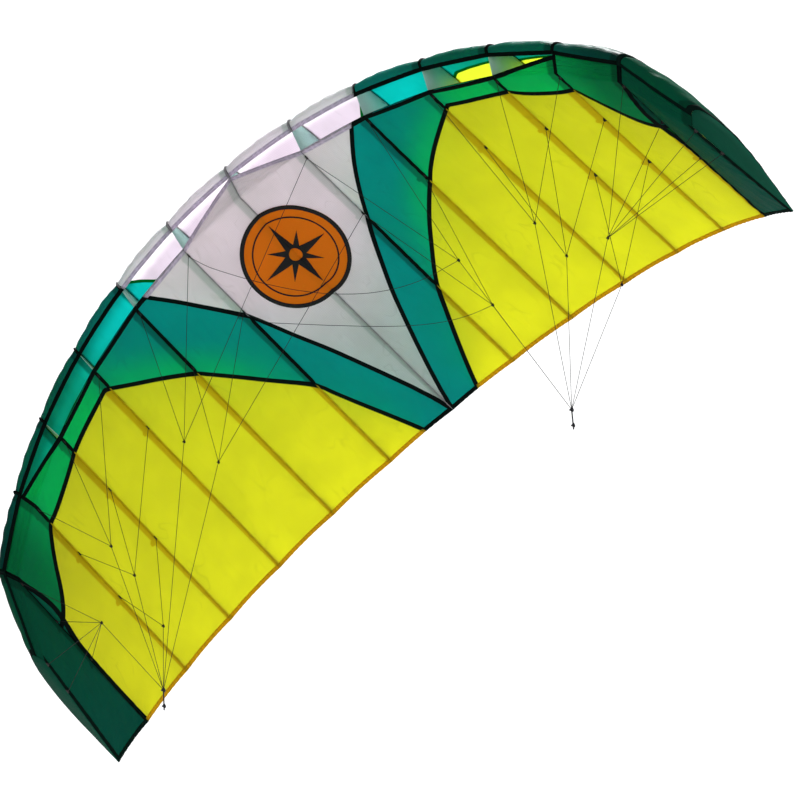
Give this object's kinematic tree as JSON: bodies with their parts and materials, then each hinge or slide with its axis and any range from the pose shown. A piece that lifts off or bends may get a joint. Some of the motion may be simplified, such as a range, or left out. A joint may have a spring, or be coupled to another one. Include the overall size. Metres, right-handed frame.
{
  "type": "kitesurf kite",
  "caption": "Ram-air power kite: a curved row of cloth cells with front air intakes, closed tips and a tabbed two-point bridle, shown as it flies.",
  "frame": {"origin": "centre of the box around the inflated wing, bridle lines left out", "axes": "+X along the span to the right tip, +Z from the trailing edge to the leading edge, -Y towards the pilot"},
  "size_m": [2.9342, 1.7834, 1.0998],
  "materials": {
    "white_ripstop": "thin coated ripstop cloth",
    "teal_ripstop": "thin coated ripstop cloth",
    "green_ripstop": "thin coated ripstop cloth",
    "dark_green_ripstop": "thin coated ripstop cloth",
    "yellow_ripstop": "thin coated ripstop cloth",
    "rib_cloth": "uncoated rib cloth",
    "seam_tape": "woven binding tape",
    "white_hem": "folded hem",
    "amber_hem": "folded trailing edge hem",
    "bridle_line": "braided line",
    "leader_sleeve": "braided sleeve",
    "patch_orange": "applique cloth",
    "patch_black": "applique cloth",
    "thread": "polyester thread"
  },
  "bodies": {
    "centre_section": {"rib_centre": "rib_cloth", "emblem_patch": "patch_orange", "bridle_tabs_centre": "seam_tape", "bridle_cascades_centre": "bridle_line", "main_lines_centre": "bridle_line", "tow_knots": "leader_sleeve", "rib_left_1": "rib_cloth", "upper_skin_left_1": "white_ripstop", "lower_skin_left_1": "white_ripstop", "rib_left_2": "rib_cloth", "upper_skin_left_2": "white_ripstop", "lower_skin_left_2": "teal_ripstop", "rib_right_1": "rib_cloth", "upper_skin_right_1": "white_ripstop", "lower_skin_right_1": "white_ripstop", "rib_right_2": "rib_cloth", "upper_skin_right_2": "white_ripstop", "lower_skin_right_2": "teal_ripstop"},
    "left_wing": {"rib_left_3": "rib_cloth", "upper_skin_left_3": "yellow_ripstop", "lower_skin_left_3": "yellow_ripstop", "rib_left_4": "rib_cloth", "upper_skin_left_4": "yellow_ripstop", "lower_skin_left_4": "yellow_ripstop", "rib_left_5": "rib_cloth", "upper_skin_left_5": "yellow_ripstop", "lower_skin_left_5": "yellow_ripstop", "rib_left_6": "rib_cloth", "upper_skin_left_6": "yellow_ripstop", "lower_skin_left_6": "yellow_ripstop", "bridle_tabs_left_wing": "seam_tape", "bridle_cascades_left_wing": "bridle_line", "main_lines_left_wing": "bridle_line"},
    "left_tip": {"rib_left_7": "dark_green_ripstop", "upper_skin_left_7": "dark_green_ripstop", "lower_skin_left_7": "dark_green_ripstop", "bridle_tabs_left_tip": "seam_tape", "bridle_lines_left_tip": "bridle_line"},
    "left_leader": {"tow_leader_left": "leader_sleeve"},
    "right_wing": {"rib_right_3": "rib_cloth", "upper_skin_right_3": "yellow_ripstop", "lower_skin_right_3": "yellow_ripstop", "rib_right_4": "rib_cloth", "upper_skin_right_4": "yellow_ripstop", "lower_skin_right_4": "yellow_ripstop", "rib_right_5": "rib_cloth", "upper_skin_right_5": "yellow_ripstop", "lower_skin_right_5": "yellow_ripstop", "rib_right_6": "rib_cloth", "upper_skin_right_6": "yellow_ripstop", "lower_skin_right_6": "yellow_ripstop", "bridle_tabs_right_wing": "seam_tape", "bridle_cascades_right_wing": "bridle_line", "main_lines_right_wing": "bridle_line"},
    "right_tip": {"rib_right_7": "dark_green_ripstop", "upper_skin_right_7": "dark_green_ripstop", "lower_skin_right_7": "dark_green_ripstop", "bridle_tabs_right_tip": "seam_tape", "bridle_lines_right_tip": "bridle_line"},
    "right_leader": {"tow_leader_right": "leader_sleeve"}
  },
  "joints": [
    {"name": "left_wing_fold", "type": "hinge", "parent": "centre_section", "child": "left_wing", "pos_m": [-0.51082, 0.14758, -0.04665], "axis": [0.0196, 0.0018, 0.9998], "range_deg": [0, 12], "stiffness_Nm_per_rad": 3, "deforming": ["main_lines_left_wing"]},
    {"name": "left_tip_fold", "type": "hinge", "parent": "left_wing", "child": "left_tip", "pos_m": [-1.3181, -0.22499, -0.22665], "axis": [0.0502, 0.0159, 0.9986], "range_deg": [0, 20], "stiffness_Nm_per_rad": 0.6, "deforming": ["bridle_lines_left_tip"]},
    {"name": "left_leader_swing", "type": "hinge", "parent": "centre_section", "child": "left_leader", "pos_m": [-0.801, -1.301, -0.151], "axis": [1, 0, 0], "range_deg": [-35, 35], "stiffness_Nm_per_rad": 0.05},
    {"name": "right_wing_fold", "type": "hinge", "parent": "centre_section", "child": "right_wing", "pos_m": [0.51082, 0.14758, -0.04665], "axis": [0.0196, -0.0018, -0.9998], "range_deg": [0, 12], "stiffness_Nm_per_rad": 3, "deforming": ["main_lines_right_wing"]},
    {"name": "right_tip_fold", "type": "hinge", "parent": "right_wing", "child": "right_tip", "pos_m": [1.3181, -0.22499, -0.22665], "axis": [0.0502, -0.0159, -0.9986], "range_deg": [0, 20], "stiffness_Nm_per_rad": 0.6, "deforming": ["bridle_lines_right_tip"]},
    {"name": "right_leader_swing", "type": "hinge", "parent": "centre_section", "child": "right_leader", "pos_m": [0.793, -1.301, -0.285], "axis": [1, 0, 0], "range_deg": [-35, 35], "stiffness_Nm_per_rad": 0.05}
  ]
}
